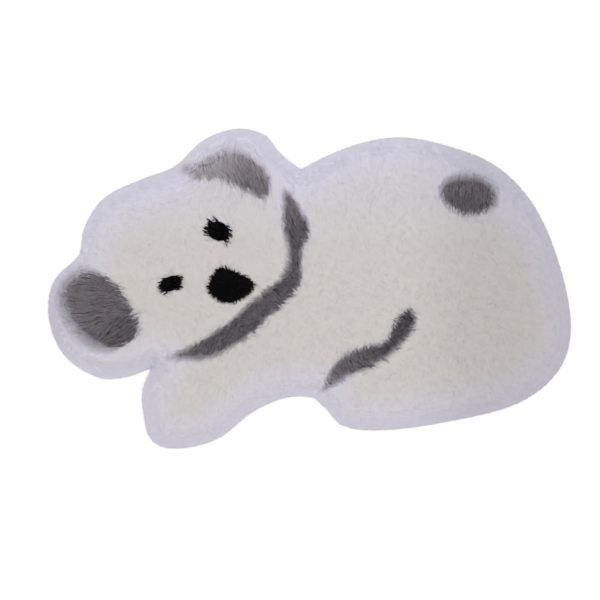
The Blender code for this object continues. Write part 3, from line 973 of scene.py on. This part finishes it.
# The flat size and area of a piece of fur, from its solid's upper side. A curved band, which fills less
# of its box than the given share, is given as the straight strip that has its area and its outline's
# length: the strip's sides are the roots of t squared less half the outline times t plus the area
def flatSize(name, bandBelow=0.4):
    triangles = solidTriangles(name)
    first, second = triangles[:, 1] - triangles[:, 0], triangles[:, 2] - triangles[:, 0]
    area = (first[:, 0] * second[:, 1] - first[:, 1] * second[:, 0]) / 2
    area = float(area[area > 0].sum())
    low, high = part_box(name)
    width, length = high[1] - low[1], high[0] - low[0]
    if area < bandBelow * width * length:
        feet = triangles[:, :, 2] < matching["foot"]
        sides = np.linalg.norm(np.roll(triangles, -1, axis=1) - triangles, axis=2)
        onFloor = feet & np.roll(feet, -1, axis=1) & (feet.sum(axis=1) == 2)[:, None]
        half = sides[onFloor].sum() / 2
        length = (half + math.sqrt(half * half - 4 * area)) / 2
        width = half - length
    return (float(width), float(length)), area


# The white pile is in so many meshes, from left to right
whiteParts = ("head", "shoulder", "belly", "rump")


# One piece of fur: its bed, which replaces the solid, and its pile, in one mesh or in several
def makeFur(name, beds, piles):
    slot = slotOfNode[name]
    fur = furOfSlot[slot]
    rng = np.random.default_rng(fur["seed"] + len(name))
    roots = scatter(filledTriangles(name), fur["density"], rng)
    roots = roots[roots[:, 0].argsort()]
    lines, width, tint, facing = strandLines(roots, name)
    base = addPiece(name + "_bed", bedMesh(name, slot), beds[slot])
    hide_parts(name)
    names = [name + "_pile"]
    if name == "white_ground":
        names = ["white_pile_" + part for part in whiteParts]
    for pileName, rows in zip(names, np.array_split(np.arange(len(lines)), len(names))):
        mesh = strandMesh(pileName, slot, lines[rows], width[rows], tint[rows], facing[rows], rng)
        addPiece(pileName, mesh, piles[slot])
    size, area = flatSize(name)
    print(name, "has", len(lines), "strands")


beds = {slot: bedMaterial(slot) for slot in furOfSlot}
piles = {slot: pileMaterial(slot) for slot in furOfSlot}
for nodeName in frame["nodes"]:
    makeFur(nodeName, beds, piles)

studio = {
    "floorSize": 6.0,
    "floorColour": (0.97, 0.97, 0.97),
    "world": 0.86,
    "keyPower": 11.0,
    "keySize": 2.4,
    "keyPlace": (-0.16, 0.28, 1.8),
    "keyColour": (1.0, 0.99, 0.98),
    "fillPower": 4.0,
    "fillSize": 2.4,
    "fillPlace": (1.2, 0.1, 2.0),
    "fillColour": (0.95, 0.96, 1.0),
}


# A plain pale floor just under the rug
def makeFloor():
    half = studio["floorSize"] / 2
    mesh = bpy.data.meshes.new("floor")
    places = [(-half, -half, 0), (half, -half, 0), (half, half, 0), (-half, half, 0)]
    mesh.from_pydata(places, [], [(0, 1, 2, 3)])
    material, _, shader = newMaterial("floor_paint", roughness=0.9, gloss=0.1)
    shader.inputs["Base Color"].default_value = (*studio["floorColour"], 1.0)
    mesh.materials.append(material)
    floor = bpy.data.objects.new("floor", mesh)
    bpy.context.scene.collection.objects.link(floor)


# A square soft light that faces the rug's middle
def softLight(name, place, size, power, colour):
    data = bpy.data.lights.new(name, "AREA")
    data.shape = "SQUARE"
    data.size = size
    data.energy = power
    data.color = colour
    light = bpy.data.objects.new(name, data)
    light.location = place
    light.visible_camera = False
    x, y, z = place
    light.rotation_euler = (math.atan2(math.hypot(x, y), z), 0, math.atan2(y, x) + math.pi / 2)
    bpy.context.scene.collection.objects.link(light)


view = {
    "acrossAtPile": 1.0266,  # metres of floor across the picture
    "centre": (-0.0163, -0.0197),
    "lens": 85.0,
    "sensor": 36.0,
    "pileTop": 0.02,
}


# The camera straight above, as high as its lens needs to take in the picture's width
def makeCamera():
    data = bpy.data.cameras.new("camera")
    data.lens = view["lens"]
    data.sensor_width = view["sensor"]
    camera = bpy.data.objects.new("camera", data)
    height = view["pileTop"] + view["acrossAtPile"] * view["lens"] / view["sensor"]
    camera.location = (*view["centre"], height)
    bpy.context.scene.collection.objects.link(camera)
    bpy.context.scene.camera = camera


makeFloor()
for lamp in ("key", "fill"):
    place, size, power, colour = (studio[lamp + part] for part in ("Place", "Size", "Power", "Colour"))
    softLight(lamp + "_light", place, size, power, colour)
world = bpy.data.worlds.new("studio")
world.use_nodes = True
world.node_tree.nodes["Background"].inputs["Color"].default_value = (1.0, 1.0, 1.0, 1.0)
world.node_tree.nodes["Background"].inputs["Strength"].default_value = studio["world"]
bpy.context.scene.world = world
bpy.context.scene.view_settings.view_transform = "Standard"
makeCamera()
print("studio set")
